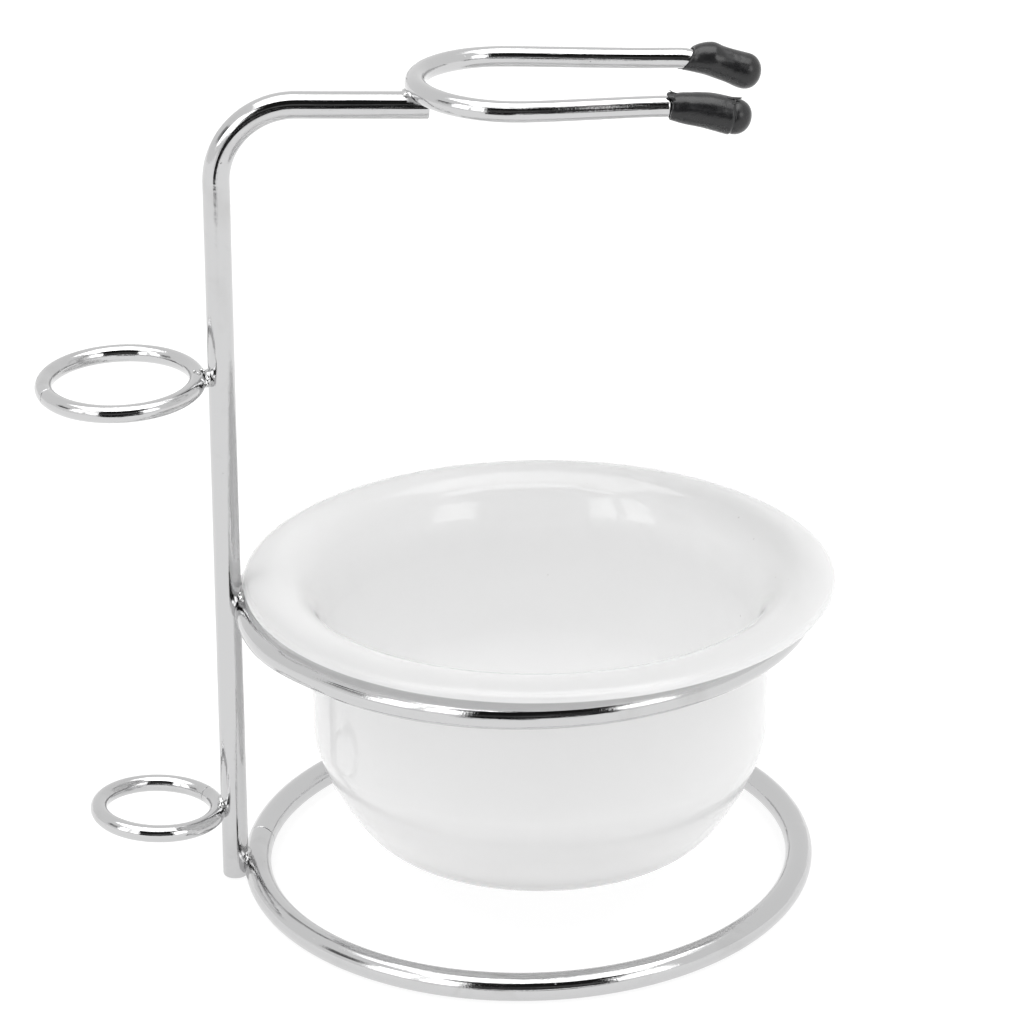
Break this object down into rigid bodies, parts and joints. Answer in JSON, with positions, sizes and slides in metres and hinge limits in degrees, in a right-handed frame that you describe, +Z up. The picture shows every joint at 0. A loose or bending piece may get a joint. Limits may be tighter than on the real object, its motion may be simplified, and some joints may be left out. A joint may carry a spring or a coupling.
{
  "type": "shaving bowl with stand",
  "caption": "Chromed wire shaving stand: a bent post with a capped brush fork, small holder rings and a round base ring, carrying a loose white flared lather bowl in its middle ring.",
  "frame": {"origin": "middle of the bounding box, on the table that the base ring stands on", "axes": "+Z up, +X from the post along the arm to the fork's open end, +Y to the back"},
  "size_m": [0.148, 0.1118, 0.1603],
  "materials": {
    "chrome_wire": "bright chrome plating on steel wire, lightly marked from forming",
    "weld_metal": "plated weld bead, rough and lumpy",
    "white_bowl": "smooth glossy white",
    "black_vinyl": "matte black vinyl with scuffs"
  },
  "bodies": {
    "stand": {"post": "chrome_wire", "base_ring": "chrome_wire", "weld_base_ring": "weld_metal", "bowl_ring": "chrome_wire", "weld_bowl_ring": "weld_metal", "upper_holder_ring": "chrome_wire", "weld_upper_holder_ring": "weld_metal", "lower_holder_ring": "chrome_wire", "weld_lower_holder_ring": "weld_metal", "fork": "chrome_wire", "weld_fork": "weld_metal"},
    "bowl": {"bowl": "white_bowl"},
    "cap_front": {"fork_cap_front": "black_vinyl"},
    "cap_back": {"fork_cap_back": "black_vinyl"}
  },
  "joints": [
    {"name": "bowl_lift", "type": "slide", "parent": "stand", "child": "bowl", "axis": [0.0523, 0, 0.9986], "range_m": [0, 0.06]},
    {"name": "cap_front_pull", "type": "slide", "parent": "stand", "child": "cap_front", "axis": [0.9813, 0.0242, -0.1908], "range_m": [0, 0.015]},
    {"name": "cap_back_pull", "type": "slide", "parent": "stand", "child": "cap_back", "axis": [0.9656, 0.0239, -0.2588], "range_m": [0, 0.015]}
  ]
}
